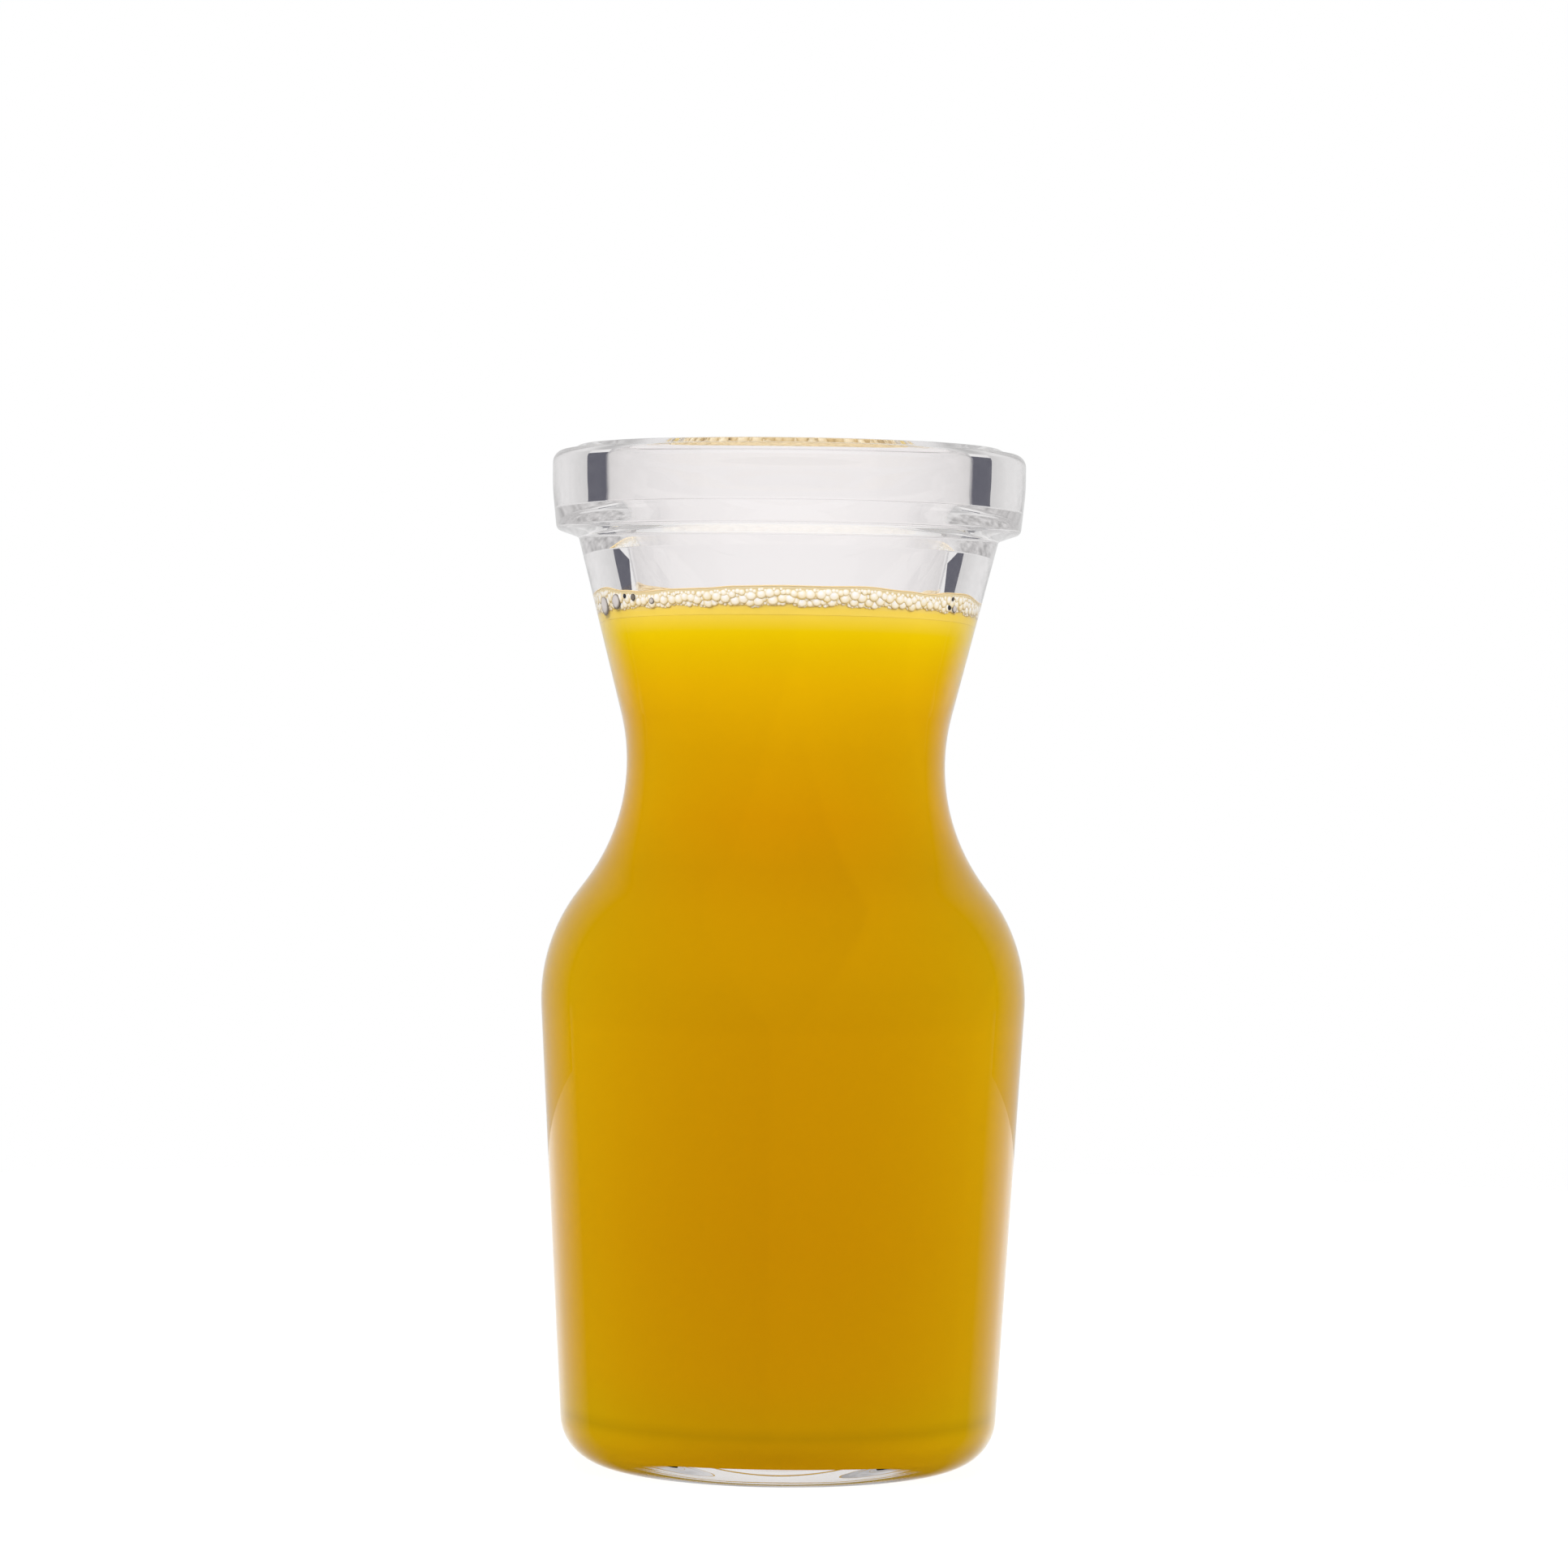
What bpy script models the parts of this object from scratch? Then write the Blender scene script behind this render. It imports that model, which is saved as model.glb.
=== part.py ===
"""Wide-mouth glass bottle of orange juice, filled to the neck, with a layer of froth.

The bottle is clear pressed glass: a raised lip on a thick finish ring, a neck that
narrows to a waist, and a round body that tapers to its heel. The juice fills it to
the neck, and a froth of small bubbles floats on the juice. Sizes are in metres, +Z
is up, and the origin is the middle of the ring that the bottle stands on.
"""

import math
import random

import bmesh
import bpy
from mathutils import Vector

OBJECT_NAME = "juice_bottle"
GAP = 0.0003
TURN_STEPS = 48
ARC_SAG = 0.00006
ARC_MIN_STEPS = 2
MERGE = 0.00001

# Lip and finish ring
HEIGHT = 0.1388
MOUTH_R = 0.0251
MOUTH_EDGE_R = 0.0020
LIP_R = 0.0286
LIP_EDGE_R = 0.0012
LIP_FOOT_R = 0.0299
LIP_FOOT_FILLET_R = 0.0007
RING_R = 0.0323
RING_TOP_Z = 0.1381
RING_EDGE_R = 0.0017
RING_TAPER_Z = 0.1330
RING_TAPER_BEND_R = 0.0300
RING_FOOT_R = 0.0317
RING_FOOT_Z = 0.1273
RING_FOOT_EDGE_R = 0.0009
MOUTH_STEP_Z = 0.13104
MOUTH_STEP_EDGE_R = 0.0009
MOUTH_STEP_MIDDLE = (0.0236, 0.12805, 0.0023)

# Neck, waist and shoulder
NECK_TOP_R = 0.02867
NECK_TOP_Z = 0.12625
NECK_TOP_FILLET_R = 0.0007
NECK_SLOPE = 0.2542
NECK_BORE_R = 0.02213
NECK_BORE_Z = 0.1254
NECK_BORE_EDGE_R = 0.0006
NECK_BORE_SLOPE = 0.232
WAIST_ARC_R = 0.0272
WAIST_BORE_ARC_R = 0.0400
SHOULDER_SLOPE = math.tan(math.radians(36.7))
SHOULDER_REF_R = 0.02776
SHOULDER_REF_Z = 0.0786
SHOULDER_WALL = 0.0028
SHOULDER_ARC_R = 0.0241
SHOULDER_BORE_ARC_R = 0.0216

# Body, heel and base
BODY_FOOT_R = 0.0295
BODY_SLOPE = 0.0576
BODY_WALL = 0.0023
HEEL_R = 0.0066
HEEL_BORE_R = 0.0032
STAND_R = 0.0198
STAND_EDGE_R = 0.0008
PUSH_UP_EDGE = (0.0169, 0.0015, 0.0040)
PUSH_UP_Z = 0.0021
FLOOR_Z = 0.0032
FLOOR_MIDDLE = (0.0115, 0.0060, 0.0600)

# Juice and froth
JUICE_Z = 0.1162
FROTH_BODY_TOP = 0.1184
FROTH_EDGE_R = 0.0007
BUBBLE_COUNT = 56
BUBBLE_R = (0.0009, 0.0016)
BUBBLE_SPACING = 1.02
BUBBLE_SINK = 0.12
BUBBLE_SEED = 7
BUBBLE_TRIES = 4000


def crossing(r_a, z_a, slope_a, r_b, z_b, slope_b):
    """Where two straight walls meet: each has radius r at height z, and slope is dr/dz."""
    z = (r_b - slope_b * z_b - r_a + slope_a * z_a) / (slope_a - slope_b)
    return r_a + slope_a * (z - z_a), z


def rounded(corners):
    """A line through (radius, height, rounding) corners, each rounded to a tangent arc.

    An arc of radius R has chords over steps of sqrt(8 sag / R), so none leaves the arc
    by more than ARC_SAG.
    """
    ends = (0, len(corners) - 1)
    points = []
    for i, (r, z, rounding) in enumerate(corners):
        corner = Vector((r, z))
        if i in ends or rounding == 0.0:
            points.append(corner)
            continue
        back = (Vector(corners[i - 1][:2]) - corner).normalized()
        ahead = (Vector(corners[i + 1][:2]) - corner).normalized()
        half_angle = back.angle(ahead) / 2
        centre = corner + (back + ahead).normalized() * rounding / math.sin(half_angle)
        start = corner + back * rounding / math.tan(half_angle) - centre
        end = corner + ahead * rounding / math.tan(half_angle) - centre
        turn = -start.angle_signed(end)
        count = max(ARC_MIN_STEPS, math.ceil(abs(turn) / math.sqrt(8 * ARC_SAG / rounding)))
        for k in range(count + 1):
            angle = math.atan2(start.y, start.x) + turn * k / count
            points.append(centre + rounding * Vector((math.cos(angle), math.sin(angle))))
    return points


def bore_corners():
    """The glass's inner face, from the middle of the floor up to the mouth's edge."""
    body_foot_r = BODY_FOOT_R - BODY_WALL
    shoulder_r = SHOULDER_REF_R - SHOULDER_WALL * math.hypot(1.0, SHOULDER_SLOPE)
    neck = (NECK_BORE_R, NECK_BORE_Z, NECK_BORE_SLOPE)
    shoulder = (shoulder_r, SHOULDER_REF_Z, -SHOULDER_SLOPE)
    body = (body_foot_r, 0.0, BODY_SLOPE)
    return [
        (0.0, FLOOR_MIDDLE[1], 0.0),
        FLOOR_MIDDLE,
        (body_foot_r + BODY_SLOPE * FLOOR_Z, FLOOR_Z, HEEL_BORE_R),
        (*crossing(*body, *shoulder), SHOULDER_BORE_ARC_R),
        (*crossing(*shoulder, *neck), WAIST_BORE_ARC_R),
        (NECK_BORE_R, NECK_BORE_Z, NECK_BORE_EDGE_R),
        MOUTH_STEP_MIDDLE,
        (MOUTH_R, MOUTH_STEP_Z, MOUTH_STEP_EDGE_R),
    ]


def outer_corners():
    """The glass's lip and outer face, from the mouth's edge down to the base's middle."""
    neck = (NECK_TOP_R, NECK_TOP_Z, NECK_SLOPE)
    shoulder = (SHOULDER_REF_R, SHOULDER_REF_Z, -SHOULDER_SLOPE)
    body = (BODY_FOOT_R, 0.0, BODY_SLOPE)
    return [
        (MOUTH_R, HEIGHT, MOUTH_EDGE_R),
        (LIP_R, HEIGHT, LIP_EDGE_R),
        (LIP_FOOT_R, RING_TOP_Z, LIP_FOOT_FILLET_R),
        (RING_R, RING_TOP_Z, RING_EDGE_R),
        (RING_R, RING_TAPER_Z, RING_TAPER_BEND_R),
        (RING_FOOT_R, RING_FOOT_Z, RING_FOOT_EDGE_R),
        (NECK_TOP_R, NECK_TOP_Z, NECK_TOP_FILLET_R),
        (*crossing(*neck, *shoulder), WAIST_ARC_R),
        (*crossing(*shoulder, *body), SHOULDER_ARC_R),
        (BODY_FOOT_R, 0.0, HEEL_R),
        (STAND_R, 0.0, STAND_EDGE_R),
        PUSH_UP_EDGE,
        (0.0, PUSH_UP_Z, 0.0),
    ]


def shrunk(points, gap):
    """The same line moved by gap towards the axis side, square to its own direction."""
    moved = []
    last = len(points) - 1
    for i, point in enumerate(points):
        along = (points[min(i + 1, last)] - points[max(i - 1, 0)]).normalized()
        moved.append(point + gap * Vector((-along.y, along.x)))
    moved[0].x = 0.0
    return moved


def filled_to(points, level):
    """From the axis at the level out to a rising line, then down that line to its foot."""
    below = [p for p in points if p.y < level]
    above = points[len(below)]
    share = (level - below[-1].y) / (above.y - below[-1].y)
    return [Vector((0.0, level)), below[-1].lerp(above, share), *reversed(below)]


def radius_at(points, height):
    """The radius of a rising line at a height."""
    return filled_to(points, height)[1].x


def material(name, colour, roughness, metallic=0.0, transmission=0.0, ior=1.45):
    """A Principled material of one colour, linear RGB."""
    made = bpy.data.materials.new(name)
    made.use_nodes = True
    shader = made.node_tree.nodes["Principled BSDF"]
    shader.inputs["Base Color"].default_value = (*colour, 1.0)
    shader.inputs["Roughness"].default_value = roughness
    shader.inputs["Metallic"].default_value = metallic
    shader.inputs["Transmission Weight"].default_value = transmission
    shader.inputs["IOR"].default_value = ior
    return made


def turned(name, points, look, collection, parent):
    """A solid of revolution: a line of (radius, height) points goes once round +Z."""
    mesh = bpy.data.meshes.new(name)
    edges = [(i, i + 1) for i in range(len(points) - 1)]
    mesh.from_pydata([(p.x, 0.0, p.y) for p in points], edges, [])
    mesh.materials.append(look)
    body = bpy.data.objects.new(name, mesh)
    body.parent = parent
    collection.objects.link(body)
    screw = body.modifiers.new("turn", "SCREW")
    screw.axis = "Z"
    screw.angle = math.tau
    screw.steps = TURN_STEPS
    screw.render_steps = TURN_STEPS
    screw.use_merge_vertices = True
    screw.merge_threshold = MERGE
    screw.use_smooth_shade = True
    return body


def bubble_places(clear_radius):
    """Seeded (x, y, radius) of bubbles, the largest first, none crossing the wall."""
    draw = random.Random(BUBBLE_SEED)
    small, large = BUBBLE_R
    places = []
    for _ in range(BUBBLE_TRIES):
        if len(places) == BUBBLE_COUNT:
            break
        size = large + (small - large) * len(places) / BUBBLE_COUNT
        reach = (clear_radius - size) * math.sqrt(draw.random())
        angle = draw.uniform(0.0, math.tau)
        x = reach * math.cos(angle)
        y = reach * math.sin(angle)
        if all(math.hypot(x - a, y - b) > (size + c) * BUBBLE_SPACING for a, b, c in places):
            places.append((x, y, size))
    return places


def fuse_bubbles(froth, places, level):
    """Joins one ball for each bubble to the froth by one union, its middle just below the level."""
    balls = bpy.data.collections.new("froth_bubbles")
    bpy.context.scene.collection.children.link(balls)
    for x, y, size in places:
        ball = bmesh.new()
        bmesh.ops.create_icosphere(ball, subdivisions=1, radius=size)
        mesh = bpy.data.meshes.new("bubble")
        ball.to_mesh(mesh)
        ball.free()
        shape = bpy.data.objects.new("bubble", mesh)
        shape.location = (x, y, level - BUBBLE_SINK * size)
        shape.rotation_euler = (0.0, 0.0, math.atan2(y, x))
        balls.objects.link(shape)
    union = froth.modifiers.new("bubbles", "BOOLEAN")
    union.operation = "UNION"
    union.operand_type = "COLLECTION"
    union.collection = balls
    union.solver = "EXACT"
    graph = bpy.context.evaluated_depsgraph_get()
    joined = bpy.data.meshes.new_from_object(froth.evaluated_get(graph))
    froth.modifiers.clear()
    froth.data = joined
    for shape in list(balls.objects):
        bpy.data.objects.remove(shape)
    bpy.data.collections.remove(balls)


def build():
    """Clears the scene and models the bottle, the juice and the froth."""
    for old in list(bpy.data.objects):
        bpy.data.objects.remove(old)
    parts = bpy.data.collections.new(OBJECT_NAME)
    bpy.context.scene.collection.children.link(parts)
    stand = bpy.data.objects.new(OBJECT_NAME, None)
    parts.objects.link(stand)

    glass = material("clear_glass", (0.95, 0.97, 0.96), 0.02, transmission=1.0, ior=1.52)
    orange = material("orange_juice", (0.62, 0.29, 0.004), 0.12)
    foam = material("juice_froth", (0.92, 0.84, 0.62), 0.35)

    bore = rounded([*bore_corners(), (MOUTH_R, HEIGHT, 0.0)])
    walls = rounded([*bore_corners(), *outer_corners()])
    turned("bottle", walls, glass, parts, stand)

    fill = shrunk(bore, GAP)
    turned("juice", filled_to(fill, JUICE_Z), orange, parts, stand)

    froth_foot = JUICE_Z + GAP
    froth_corners = [
        (0.0, FROTH_BODY_TOP, 0.0),
        (radius_at(fill, FROTH_BODY_TOP), FROTH_BODY_TOP, FROTH_EDGE_R),
        (radius_at(fill, froth_foot), froth_foot, FROTH_EDGE_R),
        (0.0, froth_foot, 0.0),
    ]
    froth = turned("froth", rounded(froth_corners), foam, parts, stand)
    clear_radius = radius_at(fill, froth_foot) * math.cos(math.pi / TURN_STEPS)
    fuse_bubbles(froth, bubble_places(clear_radius), FROTH_BODY_TOP)
    froth.data.set_sharp_from_angle(angle=math.radians(50.0))


build()
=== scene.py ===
"""The looks of a wide-mouth glass bottle of orange juice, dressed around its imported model.

The bottle is clear pressed glass with a thick finish ring, the juice fills it to the
neck, and a froth of small bubbles lies on the juice. Each is a surface worked out with
numpy from named sizes, in metres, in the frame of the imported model.
"""

import logging
import math
from dataclasses import dataclass
from enum import Enum

import bpy
import numpy as np
from bpy.types import Material, Node, NodeSocket, NodeTree, Object
from mathutils import Matrix, Vector


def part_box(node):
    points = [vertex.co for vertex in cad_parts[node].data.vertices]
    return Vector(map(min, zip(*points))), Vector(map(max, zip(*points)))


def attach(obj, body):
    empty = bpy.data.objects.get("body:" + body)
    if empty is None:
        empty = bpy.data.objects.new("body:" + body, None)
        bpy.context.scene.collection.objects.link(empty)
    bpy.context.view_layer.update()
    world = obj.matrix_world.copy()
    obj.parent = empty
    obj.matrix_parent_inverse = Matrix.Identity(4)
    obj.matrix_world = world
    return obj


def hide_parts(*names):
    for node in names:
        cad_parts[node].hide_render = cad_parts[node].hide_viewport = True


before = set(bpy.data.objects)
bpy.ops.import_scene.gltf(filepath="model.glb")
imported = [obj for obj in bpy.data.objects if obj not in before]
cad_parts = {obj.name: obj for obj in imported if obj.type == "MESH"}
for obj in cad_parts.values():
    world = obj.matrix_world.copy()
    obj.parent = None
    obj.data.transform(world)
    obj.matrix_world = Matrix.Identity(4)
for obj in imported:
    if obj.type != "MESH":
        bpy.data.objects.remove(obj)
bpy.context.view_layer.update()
LOG = logging.getLogger("juice_bottle")
MM = 0.001

Array = np.ndarray
Pair = tuple[float, float]
Corner = tuple[float, float, float]
Stops = tuple[tuple[float, str], ...]
Surface = tuple[Array, list[Array]]


class Ray(Enum):
    """The kinds of light path that a stage piece can be seen by."""

    CAMERA = "visible_camera"
    DIFFUSE = "visible_diffuse"
    GLOSSY = "visible_glossy"
    TRANSMISSION = "visible_transmission"
    SHADOW = "visible_shadow"


def linear(colour: str) -> tuple[float, float, float, float]:
    """Turns an sRGB hex colour into linear light.

    Args:
        colour: six hex digits, such as "FFCC00".

    Returns:
        Linear red, green and blue, and an alpha of 1.
    """
    parts = np.array([int(colour[i:i + 2], 16) / 255 for i in (0, 2, 4)])
    light = np.where(parts <= 0.04045, parts / 12.92, ((parts + 0.055) / 1.055) ** 2.4)
    return (*light.tolist(), 1.0)


def add_node(
    tree: NodeTree,
    kind: str,
    values: dict[str | int, object] | None = None,
    links: dict[str | int, Node | NodeSocket] | None = None,
    **settings: object,
) -> Node:
    """Adds one shader node.

    Args:
        tree: the node tree that gets it.
        kind: Blender's name of the node's class, after ShaderNode.
        values: inputs, by name or number, and the values they hold.
        links: inputs and the sockets that feed them; a node feeds its first output.
        **settings: the node's own settings.

    Returns:
        The new node.
    """
    made = tree.nodes.new("ShaderNode" + kind)
    for name, setting in settings.items():
        setattr(made, name, setting)
    for name, held in (values or {}).items():
        made.inputs[name].default_value = held
    for name, source in (links or {}).items():
        socket = source.outputs[0] if isinstance(source, Node) else source
        tree.links.new(socket, made.inputs[name])
    return made


def set_stops(ramp: Node, stops: Stops) -> Node:
    """Sets the colours that a ramp runs through.

    Args:
        ramp: the ramp's node.
        stops: (value, sRGB hex colour) pairs.

    Returns:
        The same node.
    """
    made = ramp.color_ramp.elements
    while len(made) < len(stops):
        made.new(1.0)
    for stop, (where, colour) in zip(made, stops):
        stop.position = where
        stop.color = linear(colour)
    return ramp


def level_part(tree: NodeTree, vector: NodeSocket) -> tuple[Node, NodeSocket]:
    """Adds the nodes that take the height out of a vector.

    Args:
        tree: the node tree that gets them.
        vector: the vector.

    Returns:
        The level vector, and how far it points along Y, from -1 to 1.
    """
    flat = add_node(tree, "VectorMath", {1: (1.0, 1.0, 0.0)}, {0: vector}, operation="MULTIPLY")
    way = add_node(tree, "VectorMath", None, {0: flat}, operation="NORMALIZE")
    return flat, add_node(tree, "SeparateXYZ", None, {"Vector": way}).outputs["Y"]


def empty_material(name: str) -> tuple[Material, NodeTree]:
    """Makes a material that has no nodes yet.

    Args:
        name: the material's name.

    Returns:
        The new material and its node tree.
    """
    made = bpy.data.materials.new(name)
    made.use_nodes = True
    made.node_tree.nodes.clear()
    return made, made.node_tree


def rounded(corners: list[Corner], sag: float = 0.000004) -> Array:
    """Rounds the corners of a line to tangent arcs.

    A corner with rounding R between two straight runs that open by 2h has its arc's
    centre on the bisector, R / sin(h) away, and touches each run R / tan(h) away. The
    arc is stepped by sqrt(8 sag / R), which keeps each chord within sag of it.

    Args:
        corners: (radius, height, rounding) of each corner, in order.
        sag: how far a chord may stand off its arc.

    Returns:
        The line's points, an array of (radius, height).
    """
    points = []
    for i, (r, z, rounding) in enumerate(corners):
        corner = np.array((r, z))
        if i in (0, len(corners) - 1) or rounding == 0.0:
            points.append(corner[None])
            continue
        back = np.array(corners[i - 1][:2]) - corner
        ahead = np.array(corners[i + 1][:2]) - corner
        back /= np.linalg.norm(back)
        ahead /= np.linalg.norm(ahead)
        half = math.acos(float(back @ ahead)) / 2
        bisector = (back + ahead) / np.linalg.norm(back + ahead)
        centre = corner + bisector * rounding / math.sin(half)
        start = corner + back * rounding / math.tan(half) - centre
        end = corner + ahead * rounding / math.tan(half) - centre
        first = math.atan2(start[1], start[0])
        turn = (math.atan2(end[1], end[0]) - first + math.pi) % math.tau - math.pi
        count = max(4, math.ceil(abs(turn) / math.sqrt(8 * sag / rounding)))
        angle = first + turn * np.linspace(0.0, 1.0, count + 1)
        arc = np.stack([np.cos(angle), np.sin(angle)], axis=1)
        points.append(centre + rounding * arc)
    return np.concatenate(points)


def crossing(wall_a: Corner, wall_b: Corner) -> Pair:
    """Finds where two straight walls meet.

    Args:
        wall_a: one wall's radius, height, and change of radius by height.
        wall_b: the other wall's.

    Returns:
        The radius and the height of the corner between them.
    """
    (r_a, z_a, slope_a), (r_b, z_b, slope_b) = wall_a, wall_b
    z = (r_b - slope_b * z_b - r_a + slope_a * z_a) / (slope_a - slope_b)
    return r_a + slope_a * (z - z_a), z


def spaced(line: Array, longest: float) -> Array:
    """Cuts a line's long runs into equal steps no longer than a length.

    Args:
        line: (radius, height) points.
        longest: the longest step allowed.

    Returns:
        The line with the added points.
    """
    runs = np.linalg.norm(np.diff(line, axis=0), axis=1)
    counts = np.maximum(1, np.ceil(runs / longest).astype(int))
    start = np.repeat(np.arange(len(runs)), counts)
    first = np.repeat(np.cumsum(counts) - counts, counts)
    share = (np.arange(counts.sum()) - first) / counts[start]
    points = line[start] + share[:, None] * (line[start + 1] - line[start])
    return np.concatenate([points, line[-1:]])


def once_round(steps: int) -> Array:
    """Equal angles once round, from 0."""
    return np.arange(steps) * math.tau / steps


def about_axis(radius: Array, angle: Array, height: Array | float) -> Array:
    """The points (r cos a, r sin a, h)."""
    parts = np.broadcast_arrays(radius * np.cos(angle), radius * np.sin(angle), height)
    return np.stack(parts, axis=-1)


def grid_quads(index: Array) -> Array:
    """The faces between neighbouring rows and columns of a grid of point indices."""
    corners = [index[:-1, :-1], index[1:, :-1], index[1:, 1:], index[:-1, 1:]]
    return np.stack(corners, axis=2).reshape(-1, 4)


def mesh_piece(name: str, points: Array, faces: list[Array], look: Material) -> Object:
    """Makes a smooth mesh object in the scene, at the origin.

    Args:
        name: the piece's name.
        points: an array of (x, y, z).
        faces: arrays of point indices, each of one face size.
        look: the piece's material.

    Returns:
        The new object.
    """
    mesh = bpy.data.meshes.new(name)
    mesh.from_pydata(points, [], [face for block in faces for face in block.tolist()])
    mesh.shade_smooth()
    mesh.materials.append(look)
    piece = bpy.data.objects.new(name, mesh)
    bpy.context.scene.collection.objects.link(piece)
    return piece


def paint(piece: Object, layer: str, values: Array) -> None:
    """Stores a value at each point of a piece, in a layer that its material reads."""
    made = piece.data.attributes.new(layer, "FLOAT", "POINT")
    made.data.foreach_set("value", values.astype(np.float32))


def ring_surface(radius: Array, height: Array, ends: Pair) -> Surface:
    """Joins rings about the axis into a closed surface.

    Point (i, j) is (r_ij cos a_j, r_ij sin a_j, h_ij), where a_j goes once round. A
    point on the axis closes each end. The rings run up inside and down outside, or
    outwards from the top of the axis and back to it at the bottom.

    Args:
        radius: (rings, steps) radii.
        height: (rings, steps) heights.
        ends: the heights on the axis before the first ring and after the last.

    Returns:
        The points, and the faces as quads and two fans of triangles.
    """
    rings, steps = radius.shape
    ring = about_axis(radius, once_round(steps), height)
    points = np.concatenate([ring.reshape(-1, 3), [[0, 0, ends[0]], [0, 0, ends[1]]]])
    index = np.arange(rings * steps).reshape(rings, steps)
    index = np.pad(index, ((0, 0), (0, 1)), mode="wrap")
    first, last = np.full((2, steps), [[rings * steps], [rings * steps + 1]])
    top = np.stack([first, index[0, :-1], index[0, 1:]], axis=1)
    bottom = np.stack([index[-1, :-1], last, index[-1, 1:]], axis=1)
    return points, [grid_quads(index), top, bottom]


def turned_surface(line: Array, steps: int) -> Surface:
    """Turns a (radius, height) line that starts and ends on the axis into a closed surface."""
    inner = line[1:-1, :, None] + np.zeros(steps)
    return ring_surface(inner[:, 0], inner[:, 1], (line[0, 1], line[-1, 1]))


@dataclass(frozen=True)
class ClearGlass:
    """Soda-lime glass, pressed and fire-polished: clear, with bright and dark edges."""

    tint: str = "FDFBFB"
    ior: float = 1.52
    roughness: float = 0.0
    depth_colour: str = "BCBCBC"
    depth_density: float = 6.0
    most_turns: float = 2.5
    # Painted glow: the range of strength of the grey light that the thick ring sends out.
    painted_glow_range: Pair = (0.48, 0.86)
    streak_size: Pair = (0.0030, 0.0007)
    streak_contrast: Pair = (0.3, 0.7)

    def material(self) -> Material:
        """The glass, a little grey where light goes a long way in it.

        The lamps' rays go straight through to what it holds. Where the faces of the
        thick ring would throw light to and fro more often than most_turns, the glass
        glows a streaky grey instead: a painted glow that stands in for the light those
        rays would carry. A streak is as wide and as tall as streak_size, 3 mm by 0.7 mm.

        Returns:
            The new material.
        """
        made, tree = empty_material("clear_pressed_glass")
        tint = linear(self.tint)
        glass = add_node(
            tree, "BsdfPrincipled",
            {
                "Base Color": tint,
                "Roughness": self.roughness,
                "IOR": self.ior,
                "Transmission Weight": 1.0,
            },
        )
        wide, tall = self.streak_size
        place = add_node(tree, "TexCoord").outputs["Object"]
        along = add_node(tree, "Mapping", {"Scale": (1 / wide, 1 / wide, 1 / tall)}, {"Vector": place})
        streaks = add_node(tree, "TexNoise", {"Scale": 1.0}, {"Vector": along})
        light = add_node(
            tree, "MapRange",
            {
                "From Min": self.streak_contrast[0],
                "From Max": self.streak_contrast[1],
                "To Min": self.painted_glow_range[0],
                "To Max": self.painted_glow_range[1],
            },
            {"Value": streaks},
        )
        # Painted glow, a streaky grey that stands in for light caught in the thick ring.
        painted_glow = add_node(tree, "Emission", {"Color": tint}, {"Strength": light})
        path = add_node(tree, "LightPath").outputs
        caught = add_node(
            tree, "Math", {1: self.most_turns}, {0: path["Glossy Depth"]}, operation="GREATER_THAN"
        )
        solid = add_node(tree, "MixShader", None, {0: caught, 1: glass, 2: painted_glow})
        clear = add_node(tree, "BsdfTransparent", {"Color": tint})
        mix = add_node(tree, "MixShader", None, {0: path["Is Shadow Ray"], 1: solid, 2: clear})
        depth = add_node(
            tree, "VolumeAbsorption",
            {"Color": linear(self.depth_colour), "Density": self.depth_density},
        )
        add_node(tree, "OutputMaterial", None, {"Surface": mix, "Volume": depth})
        return made


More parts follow.
